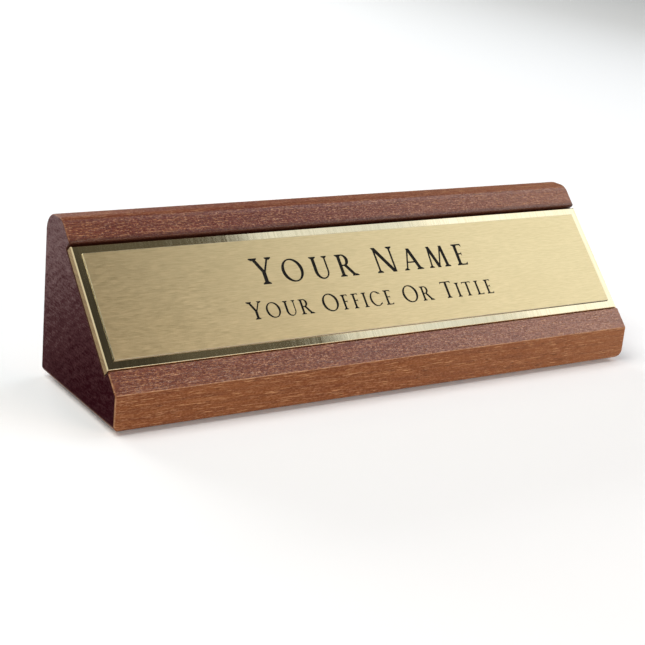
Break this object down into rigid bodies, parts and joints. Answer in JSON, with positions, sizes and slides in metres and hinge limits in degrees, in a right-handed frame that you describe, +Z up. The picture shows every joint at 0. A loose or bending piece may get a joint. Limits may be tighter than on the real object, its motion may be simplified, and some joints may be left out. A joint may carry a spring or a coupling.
{
  "type": "desk name plaque",
  "caption": "Wedge-shaped hardwood desk name plaque with a sloping channel holding a polished and brushed brass plate, engraved lettering and felt pads.",
  "frame": {"origin": "centre of the base, on the surface the plaque stands on", "axes": "+X along the plaque to the reader's right, the reader stands on the -Y side, +Z up"},
  "size_m": [0.19, 0.0506, 0.0515],
  "materials": {
    "timber": "satin oiled red-brown hardwood",
    "polished_brass": "mirror polished",
    "brushed_brass": "brushed along the length",
    "black_enamel": "matt",
    "tape": "double-sided foam tape",
    "film": "clear adhesive film",
    "felt": "felt"
  },
  "bodies": {
    "root": {"timber_block": "timber", "mounting_tapes": "tape", "backing_plate": "polished_brass", "face_plate_film": "film", "face_plate": "brushed_brass", "name_enamel": "black_enamel", "title_enamel": "black_enamel", "felt_pads": "felt"}
  },
  "joints": []
}
